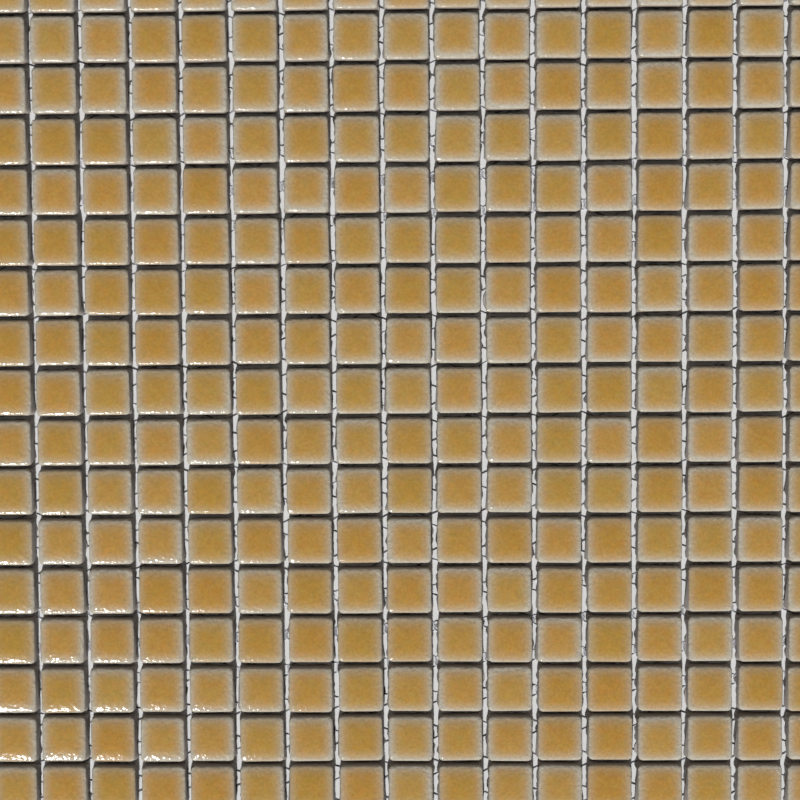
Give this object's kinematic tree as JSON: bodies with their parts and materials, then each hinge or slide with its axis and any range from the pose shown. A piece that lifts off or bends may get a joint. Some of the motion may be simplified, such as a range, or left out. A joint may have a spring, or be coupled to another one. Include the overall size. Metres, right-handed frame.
{
  "type": "mosaic tile sheet",
  "caption": "Square sheet of small square glazed porcelain mosaic tiles, set face up in even rows with open joints on a thin knitted backing net.",
  "frame": {"origin": "middle of the net's underside, on the surface that the sheet lies on", "axes": "+Z out of the tiles' faces, +X along a row of tiles, +Y across the rows"},
  "size_m": [0.299, 0.2994, 0.004],
  "materials": {
    "glazed_tile": "glossy amber glaze that thins to a pale rim",
    "backing_net": "thin grey warp-knitted net"
  },
  "bodies": {
    "root": {"tile_row_01": "glazed_tile", "tile_row_02": "glazed_tile", "tile_row_03": "glazed_tile", "tile_row_04": "glazed_tile", "tile_row_05": "glazed_tile", "tile_row_06": "glazed_tile", "tile_row_07": "glazed_tile", "tile_row_08": "glazed_tile", "tile_row_09": "glazed_tile", "tile_row_10": "glazed_tile", "tile_row_11": "glazed_tile", "tile_row_12": "glazed_tile", "tile_row_13": "glazed_tile", "tile_row_14": "glazed_tile", "tile_row_15": "glazed_tile", "tile_row_16": "glazed_tile", "tile_row_17": "glazed_tile", "tile_row_18": "glazed_tile", "tile_row_19": "glazed_tile", "tile_row_20": "glazed_tile", "tile_row_21": "glazed_tile", "tile_row_22": "glazed_tile", "tile_row_23": "glazed_tile", "tile_row_24": "glazed_tile", "tile_row_25": "glazed_tile", "tile_row_26": "glazed_tile", "backing_net": "backing_net"}
  },
  "joints": []
}
